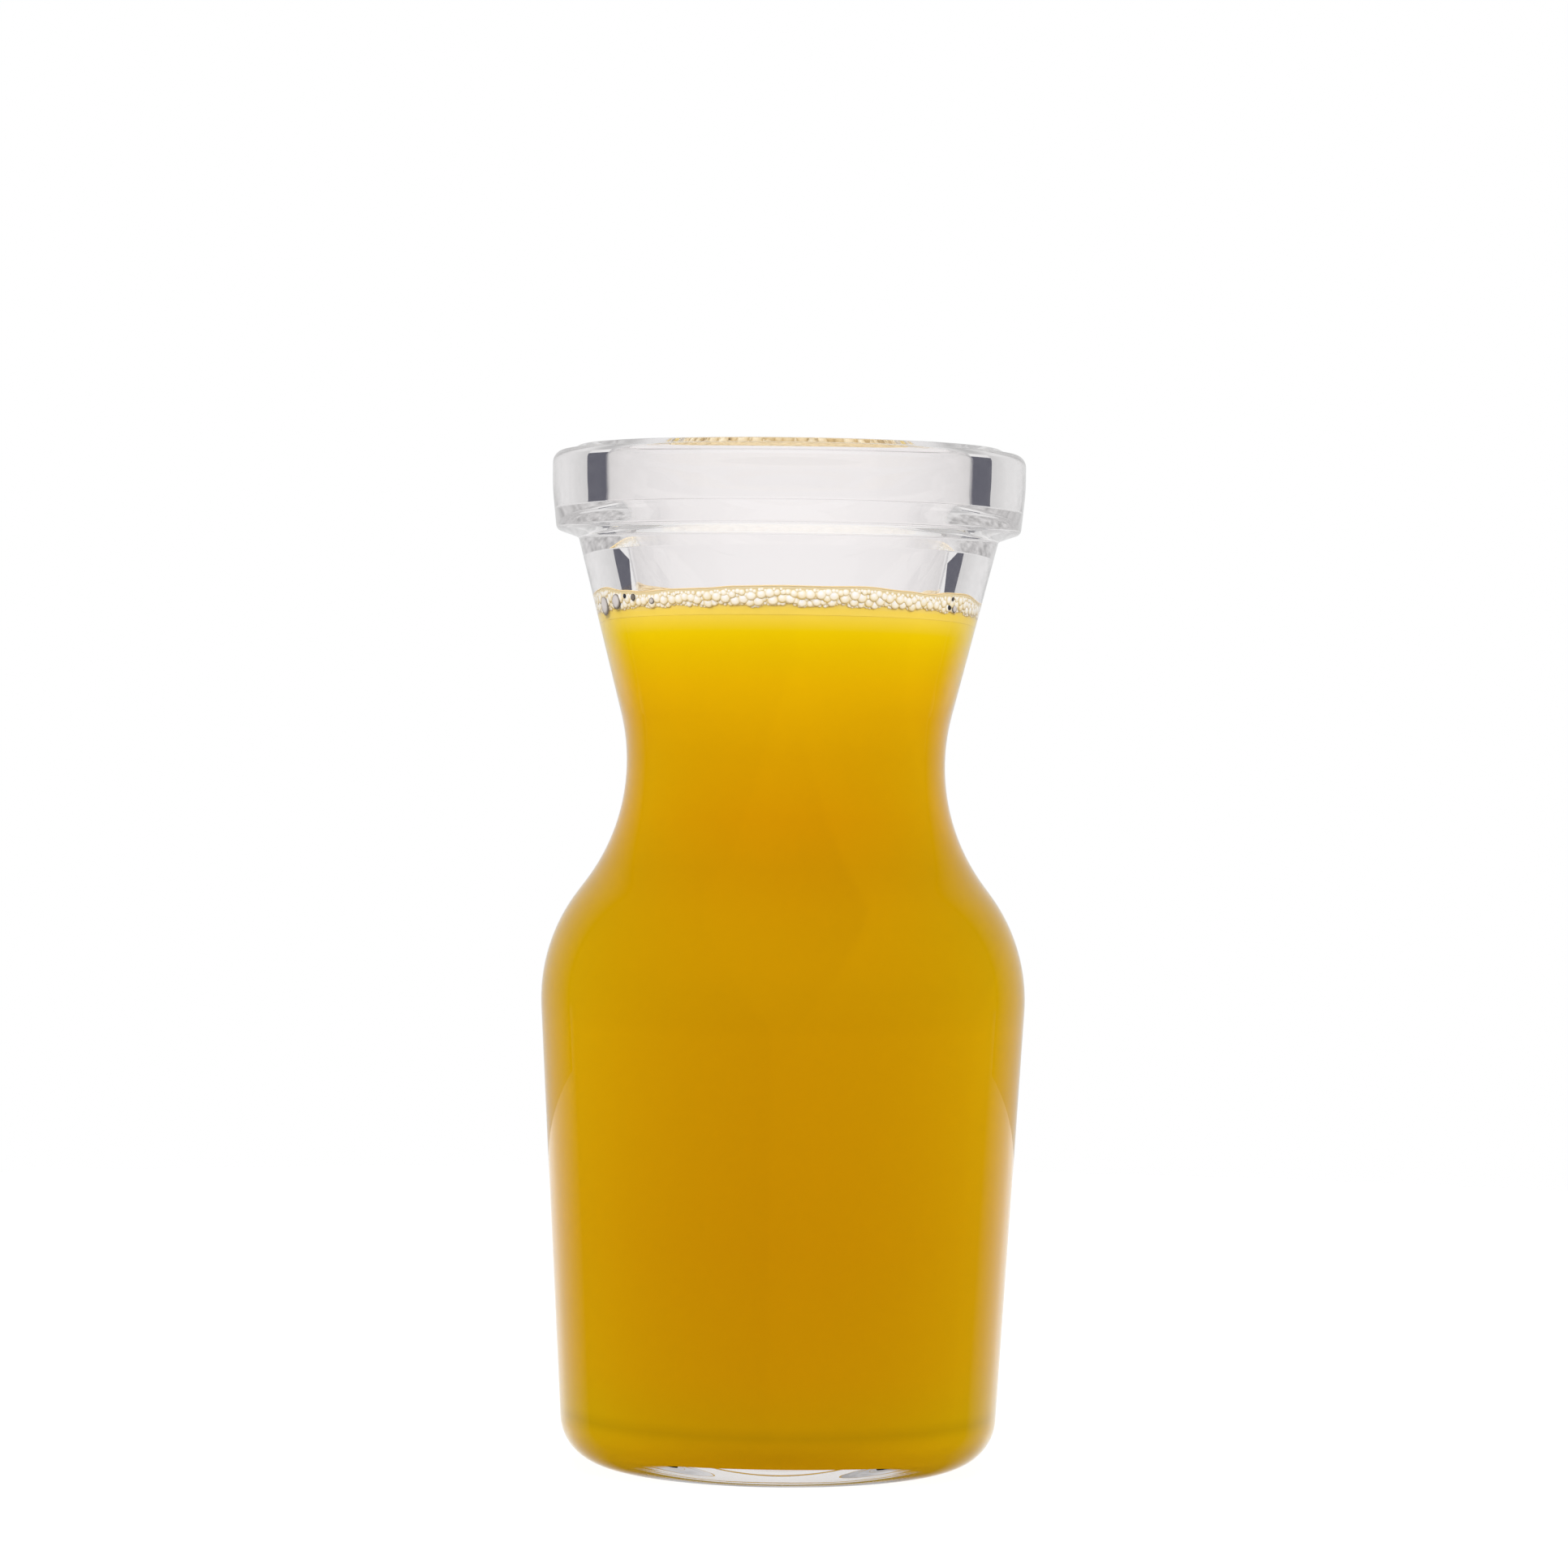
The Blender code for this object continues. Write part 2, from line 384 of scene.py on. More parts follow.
@dataclass(frozen=True)
class CloudyJuice:
    """Orange juice with fine pulp, cloudy. Its colour by height is painted light and shade:
    paler near the froth, where light comes down into it, deeper at the bottom, with small
    bands that even out how the lamps light it.

    It is painted yellower towards the bottle's back, a painted glow for the backdrop's
    light that comes through its edge.

    Where light in the glass meets the juice at more than 62 degrees from square, the
    glass's inner face throws all of it back, which leaves the thick base clear. Only
    the floor's middle does so, as pulp clings to the wall and to the floor's edge.
    """

    # Painted light and shade: each colour sets how lit the juice looks at that height.
    stops: Stops = (
        (0.000, "E6AA00"), (0.030, "B48900"), (0.044, "C09200"), (0.10, "C49100"),
        (0.25, "C59000"), (0.50, "C89500"), (0.55, "BF8F00"), (0.62, "BA8B00"),
        (0.69, "BC8A00"), (0.75, "C58E00"), (0.83, "D19D00"), (0.88, "DEAB00"),
        (0.92, "EAB800"), (0.96, "F2C800"), (0.98, "F6D302"), (1.00, "FDDE51"),
    )
    # Painted backlight: the juice is made yellower from its front towards its edges and back.
    front_and_edge: Pair = (-1.0, -0.45)
    backlight_gain: tuple[float, float, float, float] = (1.15, 1.34, 1.0, 1.0)
    neck_level: Pair = (0.75, 0.88)
    roughness: float = 0.35
    glass_ior: float = 1.52
    juice_ior: float = 1.345
    face_dull: float = 0.02
    face_full: float = 0.25
    pulp_free_r: Pair = (0.0195, 0.0220)

    def material(self, low: float, high: float) -> Material:
        """The juice between two heights.

        Args:
            low: the height of the juice's lowest point.
            high: the height of its surface.

        Returns:
            The material, whose colour, with its painted light, follows the height and the side it
            faces.
        """
        made, tree = empty_material("orange_juice")
        place = add_node(tree, "TexCoord").outputs["Object"]
        parts = add_node(tree, "SeparateXYZ", None, {"Vector": place})
        level = add_node(
            tree, "MapRange", {"From Min": low, "From Max": high}, {"Value": parts.outputs["Z"]}
        )
        flat, facing = level_part(tree, place)
        # Painted backlight, strongest at the edges and back, up to the neck.
        painted_backlight = add_node(
            tree, "MapRange",
            {"From Min": self.front_and_edge[0], "From Max": self.front_and_edge[1]},
            {"Value": facing},
        )
        below_neck = add_node(
            tree, "MapRange",
            {"From Min": self.neck_level[1], "From Max": self.neck_level[0]},
            {"Value": level},
        )
        pale = add_node(tree, "Math", None, {0: painted_backlight, 1: below_neck}, operation="MULTIPLY")
        ramp = set_stops(add_node(tree, "ValToRGB", None, {"Fac": level}), self.stops)
        colour = add_node(
            tree, "Mix",
            {7: self.backlight_gain},
            {0: pale, 6: ramp},
            data_type="RGBA",
            blend_type="MULTIPLY",
        )
        juice = add_node(
            tree, "BsdfPrincipled",
            {"Roughness": self.roughness, "Specular IOR Level": 0.0},
            {"Base Color": colour.outputs[2]},
        )
        face = add_node(tree, "BsdfGlossy", {"Color": linear("FFFFFF"), "Roughness": 0.0})
        thrown = add_node(tree, "Fresnel", {"IOR": self.juice_ior / self.glass_ior})
        grazing = add_node(
            tree, "MapRange",
            {"From Min": self.face_dull, "From Max": self.face_full},
            {"Value": thrown},
        )
        reach = add_node(tree, "VectorMath", None, {0: flat}, operation="LENGTH")
        floor = add_node(
            tree, "MapRange",
            {"From Min": self.pulp_free_r[1], "From Max": self.pulp_free_r[0]},
            {"Value": reach.outputs["Value"]},
        )
        clean = add_node(tree, "Math", None, {0: grazing, 1: floor}, operation="MULTIPLY")
        mix = add_node(tree, "MixShader", None, {0: clean, 1: juice, 2: face})
        add_node(tree, "OutputMaterial", None, {"Surface": mix})
        return made


@dataclass(frozen=True)
class PaintedFroth:
    """Wet froth whose colour follows a value painted on its points."""

    name: str
    stops: Stops
    roughness: float = 0.2
    ior: float = 1.34
    layer: str = "pale"

    def material(self) -> Material:
        """The froth, a wet surface with a soft gleam.

        Returns:
            The new material.
        """
        made, tree = empty_material(self.name)
        pale = add_node(tree, "Attribute", attribute_name=self.layer).outputs["Fac"]
        ramp = set_stops(add_node(tree, "ValToRGB", None, {"Fac": pale}), self.stops)
        froth = add_node(
            tree, "BsdfPrincipled",
            {"Roughness": self.roughness, "IOR": self.ior},
            {"Base Color": ramp},
        )
        add_node(tree, "OutputMaterial", None, {"Surface": froth})
        return made


@dataclass(frozen=True)
class WetFroth(PaintedFroth):
    """A froth of juice bubbles: cream crowns with painted highlights, straw rims and yellow
    hollows that are partly juice and partly painted shade.
    """

    name: str = "juice_froth"
    # The whitest stops are painted highlights; the straw ones are partly painted shade.
    stops: Stops = (
        (0.00, "FFE05A"), (0.15, "F6DA7E"), (0.28, "E6D09A"), (0.45, "F4E6BE"),
        (0.62, "FCF4DE"), (0.85, "FFFEF8"), (1.00, "FFFFFF"),
    )


@dataclass(frozen=True)
class ShadedFrothTop(PaintedFroth):
    """The froth's top, darker and greyer than the froth at the glass: partly the beige of
    froth seen from above and partly painted shade that keeps the top lamp from washing
    it out.
    """

    name: str = "froth_top_shaded"
    # A darker copy of the froth's colours, partly painted shade.
    stops: Stops = (
        (0.00, "BCA26C"), (0.50, "D4C096"), (1.00, "F0E6CA"),
    )
    roughness: float = 0.35


@dataclass(frozen=True)
class ClearBubble(PaintedFroth):
    """A clear bubble at the glass, whose grey and near-black are painted light: the room
    and the dark cards as they show through it.
    """

    name: str = "clear_bubble"
    stops: Stops = (
        (0.00, "1C1C26"), (0.20, "7A7268"), (0.60, "CFC9C4"), (1.00, "F2F0F4"),
    )


@dataclass(frozen=True)
class JuiceFilm:
    """The thin bead of drying juice along the froth's edge, ochre and shiny."""

    colour: str = "F2D9A4"
    roughness: float = 0.25
    ior: float = 1.34

    def material(self) -> Material:
        """The bead, darker than the froth below it.

        Returns:
            The new material.
        """
        made, tree = empty_material("juice_film")
        film = add_node(
            tree, "BsdfPrincipled",
            {"Base Color": linear(self.colour), "Roughness": self.roughness, "IOR": self.ior},
        )
        add_node(tree, "OutputMaterial", None, {"Surface": film})
        return made


@dataclass(frozen=True)
class LitTable:
    """White acrylic lit from below: it glows, and throws back little of the room's light."""

    colour: str = "FFFFFF"
    matt_colour: str = "7C7C7C"
    roughness: float = 0.9
    glow: float = 0.90

    def material(self) -> Material:
        """The table top, which throws back no highlight.

        Returns:
            The new material.
        """
        made, tree = empty_material("lit_table")
        matt = add_node(
            tree, "BsdfPrincipled",
            {
                "Base Color": linear(self.matt_colour),
                "Roughness": self.roughness,
                "Specular IOR Level": 0.0,
                "Emission Color": linear(self.colour),
                "Emission Strength": self.glow,
            },
        )
        add_node(tree, "OutputMaterial", None, {"Surface": matt})
        return made


@dataclass(frozen=True)
class LitSheet:
    """A sheet that sends out light by itself, by an amount painted on its points."""

    name: str
    colour: str = "FFFFFF"
    layer: str = "light"

    def material(self) -> Material:
        """The glow, which stands for paper lit by lamps that the stage leaves out.

        Returns:
            The new material.
        """
        made, tree = empty_material(self.name)
        light = add_node(tree, "Attribute", attribute_name=self.layer)
        glow = add_node(
            tree, "Emission", {"Color": linear(self.colour)}, {"Strength": light.outputs["Fac"]}
        )
        add_node(tree, "OutputMaterial", None, {"Surface": glow})
        return made


@dataclass
class GlassBottle:
    """The glass: a lip on a thick finish ring, a waisted neck and a tapering body."""

    height: float
    steps: int = 320
    row_step: float = 0.0016
    mouth_r: float = 0.0251
    mouth_edge_r: float = 0.0020
    lip_r: float = 0.0286
    lip_edge_r: float = 0.0012
    lip_foot_r: float = 0.0299
    lip_foot_fillet_r: float = 0.0007
    ring_r: float = 0.0323
    ring_top_z: float = 0.1381
    ring_edge_r: float = 0.0017
    ring_taper_z: float = 0.1330
    ring_taper_bend_r: float = 0.0300
    ring_foot_r: float = 0.0317
    ring_foot_z: float = 0.1273
    ring_foot_edge_r: float = 0.0009
    mouth_step_z: float = 0.13104
    mouth_step_edge_r: float = 0.0009
    mouth_step_middle: Corner = (0.0236, 0.12805, 0.0023)
    neck_top_r: float = 0.02867
    neck_top_z: float = 0.12625
    neck_top_fillet_r: float = 0.0007
    neck_slope: float = 0.2542
    neck_bore_r: float = 0.02213
    neck_bore_z: float = 0.1254
    neck_bore_edge_r: float = 0.0006
    neck_bore_slope: float = 0.232
    waist_arc_r: float = 0.0272
    waist_bore_arc_r: float = 0.0400
    shoulder_slope: float = math.tan(math.radians(36.7))
    shoulder_ref_r: float = 0.02776
    shoulder_ref_z: float = 0.0786
    shoulder_wall: float = 0.0028
    shoulder_arc_r: float = 0.0241
    shoulder_bore_arc_r: float = 0.0216
    body_foot_r: float = 0.02945
    body_slope: float = 0.0576
    body_wall: float = 0.0023
    heel_r: float = 0.0066
    heel_bore_r: float = 0.0032
    stand_r: float = 0.0198
    stand_edge_r: float = 0.0008
    push_up_edge: Corner = (0.0169, 0.0015, 0.0040)
    push_up_z: float = 0.0021
    floor_z: float = 0.0032
    floor_middle: Corner = (0.0115, 0.0060, 0.0600)

    def bore_corners(self) -> list[Corner]:
        """Lists the inner face's corners, from the floor's middle up to the mouth's edge.

        Returns:
            The radius, height and rounding of each.
        """
        foot_r = self.body_foot_r - self.body_wall
        shoulder_r = self.shoulder_ref_r - self.shoulder_wall * math.hypot(1, self.shoulder_slope)
        neck = (self.neck_bore_r, self.neck_bore_z, self.neck_bore_slope)
        shoulder = (shoulder_r, self.shoulder_ref_z, -self.shoulder_slope)
        body = (foot_r, 0.0, self.body_slope)
        return [
            (0.0, self.floor_middle[1], 0.0),
            self.floor_middle,
            (foot_r + self.body_slope * self.floor_z, self.floor_z, self.heel_bore_r),
            (*crossing(body, shoulder), self.shoulder_bore_arc_r),
            (*crossing(shoulder, neck), self.waist_bore_arc_r),
            (self.neck_bore_r, self.neck_bore_z, self.neck_bore_edge_r),
            self.mouth_step_middle,
            (self.mouth_r, self.mouth_step_z, self.mouth_step_edge_r),
        ]

    def outer_corners(self) -> list[Corner]:
        """Lists the lip's and the outer face's corners, down to the middle of the base.

        Returns:
            The radius, height and rounding of each.
        """
        neck = (self.neck_top_r, self.neck_top_z, self.neck_slope)
        shoulder = (self.shoulder_ref_r, self.shoulder_ref_z, -self.shoulder_slope)
        body = (self.body_foot_r, 0.0, self.body_slope)
        return [
            (self.mouth_r, self.height, self.mouth_edge_r),
            (self.lip_r, self.height, self.lip_edge_r),
            (self.lip_foot_r, self.ring_top_z, self.lip_foot_fillet_r),
            (self.ring_r, self.ring_top_z, self.ring_edge_r),
            (self.ring_r, self.ring_taper_z, self.ring_taper_bend_r),
            (self.ring_foot_r, self.ring_foot_z, self.ring_foot_edge_r),
            (self.neck_top_r, self.neck_top_z, self.neck_top_fillet_r),
            (*crossing(neck, shoulder), self.waist_arc_r),
            (*crossing(shoulder, body), self.shoulder_arc_r),
            (self.body_foot_r, 0.0, self.heel_r),
            (self.stand_r, 0.0, self.stand_edge_r),
            self.push_up_edge,
            (0.0, self.push_up_z, 0.0),
        ]

    def bore(self) -> Array:
        """The inner face's line, from the floor's middle to the mouth's edge."""
        return rounded([*self.bore_corners(), (self.mouth_r, self.height, 0.0)])

    def bore_radius(self, height: Array | float) -> Array:
        """Reads the inner face's radius off its line.

        Args:
            height: heights above the floor.

        Returns:
            The radius at each.
        """
        line = self.bore()
        rising = line[np.argmin(line[:, 1]):]
        return np.interp(height, rising[:, 1], rising[:, 0])

    def build(self, finish: ClearGlass) -> Object:
        """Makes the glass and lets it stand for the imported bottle.

        Args:
            finish: the glass's finish.

        Returns:
            The new piece.
        """
        line = spaced(rounded([*self.bore_corners(), *self.outer_corners()]), self.row_step)
        points, faces = turned_surface(line, self.steps)
        piece = mesh_piece("glass_bottle", points, faces, finish.material())
        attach(piece, "root")
        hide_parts("bottle")
        return piece


@dataclass
class JuiceFill:
    """The juice, which reaches just into the glass so that no air shows between them."""

    glass: GlassBottle
    level: float
    reach: float = 0.00012
    steps: int = 192
    row_step: float = 0.0016

    def build(self, finish: CloudyJuice) -> Object:
        """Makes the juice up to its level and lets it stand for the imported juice.

        Args:
            finish: the juice's finish.

        Returns:
            The new piece.
        """
        bore = spaced(self.glass.bore(), self.row_step)
        along = np.gradient(bore, axis=0)
        along /= np.linalg.norm(along, axis=1)[:, None]
        grown = bore + self.reach * np.stack([along[:, 1], -along[:, 0]], axis=1)
        grown[0, 0] = 0.0
        below = grown[grown[:, 1] < self.level]
        rim = float(self.glass.bore_radius(self.level)) + self.reach
        top = np.array([[0.0, self.level], [rim / 2, self.level], [rim, self.level]])
        points, faces = turned_surface(np.concatenate([top, below[::-1]]), self.steps)
        look = finish.material(float(below[:, 1].min()), self.level)
        piece = mesh_piece("juice_fill", points, faces, look)
        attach(piece, "root")
        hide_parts("juice")
        return piece


@dataclass(frozen=True)
class Gleam:
    """How a bubble's dome is painted: a paleness, a painted highlight, and a darker rim that is
    partly juice in the crease and partly painted shade.
    """

    pale: float
    # Painted highlight: its strength, where it sits and how wide it is.
    painted_highlight: float
    highlight_at: Pair
    highlight_width: float
    rim: float


@dataclass
class Froth:
    """The layer of bubbles on the juice, wet against the glass up to a wavy edge.

    The edge's rises are (degrees round from the camera's side, millimetres) pairs, and
    the clear bubbles are (degrees, height above the foot and radius in millimetres,
    brightness of the painted view through it) rows. A skew is the power that makes
    large bubbles rare.
    """

    glass: GlassBottle
    foot: float
    top: float
    reach: float = 0.00014
    steps: int = 720
    edge_z: float = 0.11985
    edge_rises: tuple[Pair, ...] = (
        (-180.0, 0.10), (-150.0, -0.20), (-125.0, 0.20), (-100.0, 0.20), (-81.0, 0.55),
        (-67.0, -0.15), (-56.0, -0.50), (-42.0, -0.30), (-29.0, -0.25), (-18.0, 0.00),
        (-2.0, 0.10), (12.0, 0.05), (26.0, 0.15), (43.0, -0.20), (54.0, -0.42), (66.0, 0.00),
        (76.0, 0.10), (93.0, -0.55), (112.0, -0.20), (135.0, 0.25), (160.0, -0.10), (180.0, 0.10),
    )
    film_r: float = 0.00010
    film_sides: int = 8
    film_sunk: float = 0.4
    dome_rings: int = 5
    dome_sides: int = 12
    dome_share: float = 0.56
    rim_start: float = 0.62
    rim_width: float = 0.28
    tries_each: int = 12
    wall_count: int = 1600
    wall_sizes: Pair = (0.00026, 0.00078)
    wall_skew: int = 5
    wall_flatness: float = 0.28
    wall_closeness: float = 0.56
    wall_above_foot: float = 0.0004
    wall_below_edge: float = 0.00018
    wall_gleam: Gleam = Gleam(0.58, 0.42, (-0.12, 0.22), 0.42, 0.32)
    wall_shades: Pair = (-0.10, 0.08)
    ragged: float = 0.00025
    ragged_waves: tuple[int, int] = (31, 12)
    clear_out: float = 0.0002
    # How much darker the painted view is at a clear bubble's rim.
    clear_rim: float = 0.75
    clear_bubbles: tuple[tuple[float, float, float, float], ...] = (
        (-84.0, 1.55, 1.45, 0.72), (-73.0, 1.85, 1.15, 0.75), (-66.5, 2.45, 0.35, 0.02),
        (-61.5, 2.20, 0.50, 0.20), (-52.0, 1.60, 0.45, 0.60), (66.5, 1.45, 0.42, 0.02),
        (67.5, 2.60, 0.30, 0.10), (70.0, 1.35, 0.60, 0.70), (118.0, 1.70, 1.10, 0.72),
        (160.0, 1.90, 0.80, 0.70), (-140.0, 1.60, 1.00, 0.72),
    )
    top_count: int = 1600
    top_sizes: Pair = (0.00030, 0.00125)
    top_skew: int = 4
    top_closeness: float = 0.62
    top_flatness: float = 0.50
    top_gleam: Gleam = Gleam(0.55, 0.45, (-0.2, -0.3), 0.40, 0.45)
    top_from_wall: float = 1.3
    top_sunk: float = 0.00005
    top_lift: float = 0.15
    level_drop: float = 0.0012
    level_power: int = 8
    top_rows: int = 24
    top_from: float = 0.05
    top_paint: float = 0.50
    side_rows: int = 14
    side_last: float = 0.985
    side_paint: float = 0.36
    side_fade: Pair = (0.3, 0.8)
    side_below_foot: float = 0.0004
    floor_rows: int = 4
    seed: int = 11

    def unit_dome(self) -> Surface:
        """Works out a dome of radius 1 about +Z.

        Ring i of n lies at the polar angle s pi i / n, where s is dome_share.

        Returns:
            The dome's points and faces.
        """
        step = self.dome_share * math.pi / self.dome_rings
        polar = np.arange(1, self.dome_rings + 1)[:, None] * step + np.zeros(self.dome_sides)
        return ring_surface(np.sin(polar), np.cos(polar), (1.0, float(np.cos(polar[-1, 0]))))

    def unit_rim(self) -> Array:
        """Works out how near each point of the unit dome is to its rim.

        Returns:
            0 inside rim_start, and 1 at the rim.
        """
        points = self.unit_dome()[0]
        out = np.hypot(points[:, 0], points[:, 1]) + (points[:, 2] < 0)
        return np.clip((out - self.rim_start) / self.rim_width, 0.0, 1.0)

    def shading(self, gleam: Gleam) -> Array:
        """Works out how pale each point of the unit dome is.

        That is p + s exp(-(d / w)^2) - k n: the paleness p, the painted highlight's strength s,
        its width w and the distance d from it, and the rim's strength k and nearness n.

        Args:
            gleam: how the dome is painted.

        Returns:
            The paleness of each point.
        """
        points = self.unit_dome()[0]
        apart = np.hypot(points[:, 0] - gleam.highlight_at[0], points[:, 1] - gleam.highlight_at[1])
        painted_highlight = np.exp(-((apart / gleam.highlight_width) ** 2))
        # Painted highlight near the dome's top, and a rim that is partly painted shade.
        return gleam.pale + gleam.painted_highlight * painted_highlight - gleam.rim * self.unit_rim()

    def drawn(
        self, draw: np.random.Generator, count: int, sizes: Pair, skew: int
    ) -> tuple[Array, Array]:
        """Draws bubbles to choose from, the large ones first.

        A size is a + (b - a) u^k, where u is drawn evenly from 0 to 1.

        Args:
            draw: the source of random numbers.
            count: how many bubbles are wanted.
            sizes: the smallest radius a and the largest b.
            skew: the power k.

        Returns:
            Their radii and their angles round the axis.
        """
        tries = count * self.tries_each
        small, large = sizes
        radii = np.sort(small + (large - small) * draw.random(tries) ** skew)[::-1]
        return radii, draw.uniform(0.0, math.tau, tries)

    @staticmethod
    def packed(places: Array, sizes: Array, count: int, closeness: float) -> Array:
        """Keeps the candidates that lie clear enough of those kept before them.

        Args:
            places: (n, 3) candidate middles, tried in order.
            sizes: their radii.
            count: the most to keep.
            closeness: the share of two radii that must lie between two middles.

        Returns:
            The numbers of the candidates kept.
        """
        kept: list[int] = []
        for i in range(len(places)):
            if len(kept) == count:
                break
            apart = np.linalg.norm(places[kept] - places[i], axis=1)
            if np.all(apart > closeness * (sizes[kept] + sizes[i])):
                kept.append(i)
        return np.array(kept)

    def edge(self, angle: Array) -> Array:
        """Works out the height of the wet edge on the glass.

        Between two of the given rises, a and b, it is a + (b - a) (1 - cos(pi t)) / 2,
        where t goes from 0 to 1.

        Args:
            angle: angles round the axis.

        Returns:
            The edge's height at each.
        """
        at, rise = np.array(self.edge_rises).T
        turned = (np.degrees(angle) + 90.0 + 180.0) % 360.0 - 180.0
        before = np.clip(np.searchsorted(at, turned, side="right") - 1, 0, len(at) - 2)
        t = (turned - at[before]) / (at[before + 1] - at[before])
        share = (1 - np.cos(np.pi * t)) / 2
        return self.edge_z + MM * (rise[before] + share * (rise[before + 1] - rise[before]))

    def surface(self, edge: Array, share: Array) -> Array:
        """The top's height: m + (e - m) s^p, at a share s of the way from middle m to edge e."""
        middle = self.top - self.level_drop
        return middle + (edge - middle) * share**self.level_power

    def wall_radius(self, height: Array) -> Array:
        """The radius just into the glass from its inner face."""
        return self.glass.bore_radius(height) + self.reach

    def domes(
        self, name: str, places: Array, sizes: Array, facing: Array, flatness: float,
        pale: Array, look: Material,
    ) -> Object:
        """Joins one dome for each bubble into a piece.

        A dome's point is c + s (x u + y v + f z w): c is its middle, s its size, (x, y,
        z) a point of the unit dome, w the way it faces, u and v square to that, and f
        its flatness.

        Args:
            name: the piece's name.
            places: the bubbles' middles.
            sizes: their radii.
            facing: unit vectors that point away from the juice.
            flatness: the dome's height as a share of its radius.
            pale: how pale each point of each dome is, or of any one dome.
            look: the piece's material.

        Returns:
            The new piece.
        """
        unit, blocks = self.unit_dome()
        up = np.where(np.abs(facing[:, 2:]) > 0.9, (1.0, 0.0, 0.0), (0.0, 0.0, 1.0))
        across = np.cross(up, facing)
        across /= np.linalg.norm(across, axis=1)[:, None]
        over = np.cross(facing, across)
        frames = np.stack([across, over, flatness * facing], axis=1)
        points = places[:, None, :] + sizes[:, None, None] * np.einsum("pk,bkx->bpx", unit, frames)
        start = (np.arange(len(places)) * len(unit))[:, None, None]
        faces = [(start + block[None]).reshape(-1, block.shape[1]) for block in blocks]
        piece = mesh_piece(name, points.reshape(-1, 3), faces, look)
        paint(piece, WetFroth.layer, np.broadcast_to(pale, points.shape[:2]).ravel())
        return piece

    def wall_bubbles(self, look: Material) -> Object:
        """Makes the bubbles that press against the glass all round.

        Args:
            look: the piece's material.

        Returns:
            The new piece.
        """
        draw = np.random.default_rng(self.seed)
        sizes, angle = self.drawn(draw, self.wall_count, self.wall_sizes, self.wall_skew)
        fast, slow = self.ragged_waves
        ragged = self.ragged * (1 + np.sin(fast * angle) * np.sin(slow * angle + 1))
        low = self.foot + self.wall_above_foot + ragged + sizes
        high = self.edge(angle) - self.wall_below_edge - sizes
        height = low + (high - low) * draw.random(len(sizes))
        places = about_axis(self.wall_radius(height), angle, height)
        kept = self.packed(places, sizes, self.wall_count, self.wall_closeness)
        pale = draw.uniform(*self.wall_shades, (len(kept), 1)) + self.shading(self.wall_gleam)
        return self.domes(
            "froth_wall_bubbles", places[kept], sizes[kept], about_axis(1.0, angle[kept], 0.0),
            self.wall_flatness, pale, look,
        )

    def large_clear_bubbles(self, look: Material) -> Object:
        """Makes the few clear bubbles at the glass, painted with the grey of the room and the
        dark cards that show through them.

        Args:
            look: the piece's material.

        Returns:
            The new piece.
        """
        degrees, height, sizes, painted_view = np.array(self.clear_bubbles).T
        angle = np.radians(degrees - 90.0)
        height = self.foot + MM * height
        places = about_axis(self.wall_radius(height) + self.clear_out, angle, height)
        # Painted view of the room through each bubble, darker towards its rim.
        pale = painted_view[:, None] * (1 - self.clear_rim * self.unit_rim())
        return self.domes(
            "froth_clear_bubbles", places, MM * sizes, about_axis(1.0, angle, 0.0),
            self.wall_flatness, pale, look,
        )

    def top_bubbles(self, look: Material) -> Object:
        """Makes the bubbles that dome up out of the froth's top.

        Args:
            look: the piece's material.

        Returns:
            The new piece.
        """
        draw = np.random.default_rng(self.seed + 1)
        sizes, angle = self.drawn(draw, self.top_count, self.top_sizes, self.top_skew)
        limit = float(self.glass.bore_radius(self.top))
        reach = (limit - self.top_from_wall * sizes) * np.sqrt(draw.random(len(sizes)))
        surface = self.surface(self.edge(angle), reach / limit)
        places = about_axis(reach, angle, surface - self.top_sunk + self.top_lift * sizes)
        kept = self.packed(places, sizes, self.top_count, self.top_closeness)
        facing = np.tile([0.0, 0.0, 1.0], (len(kept), 1))
        return self.domes(
            "froth_top_bubbles", places[kept], sizes[kept], facing, self.top_flatness,
            self.shading(self.top_gleam), look,
        )

    def body(self, look: Material) -> Object:
        """Makes the froth between the bubbles, which wets the glass up to the wavy edge.

        Its side follows the glass's inner face from the edge to the foot, where t goes
        from 0 to 1, and its paint fades between the two t of side_fade.

        Args:
            look: the piece's material.

        Returns:
            The new piece.
        """
        edge = self.edge(once_round(self.steps))
        rim = self.wall_radius(edge)
        share = np.linspace(self.top_from, 1.0, self.top_rows)[:, None]
        evenly = np.linspace(0.0, 1.0, self.side_rows + 2)[1:-1]
        t = np.append(evenly, (self.side_last, 1.0))[:, None]
        side_height = edge + t * (self.foot - self.side_below_foot - edge)
        floor_share = np.linspace(1.0, 0.0, self.floor_rows + 2)[1:-1, None]
        floor_radius = floor_share * self.wall_radius(side_height[-1])
        floor_height = 0 * floor_radius + side_height[-1]
        radius = np.concatenate([share * rim, self.wall_radius(side_height), floor_radius])
        height = np.concatenate([self.surface(edge, share), side_height, floor_height])
        ends = (float(height[0, 0]), float(side_height[-1, 0]))
        points, faces = ring_surface(radius, height, ends)
        full, gone = self.side_fade
        side = self.side_paint * np.clip((gone - t[:, 0]) / (gone - full), 0.0, 1.0)
        top = np.full(self.top_rows, self.top_paint)
        pale = np.concatenate([top, side, np.zeros(self.floor_rows)])
        piece = mesh_piece("froth_body", points, faces, look)
        paint(piece, WetFroth.layer, np.append(np.repeat(pale, self.steps), [self.top_paint, 0.0]))
        return piece

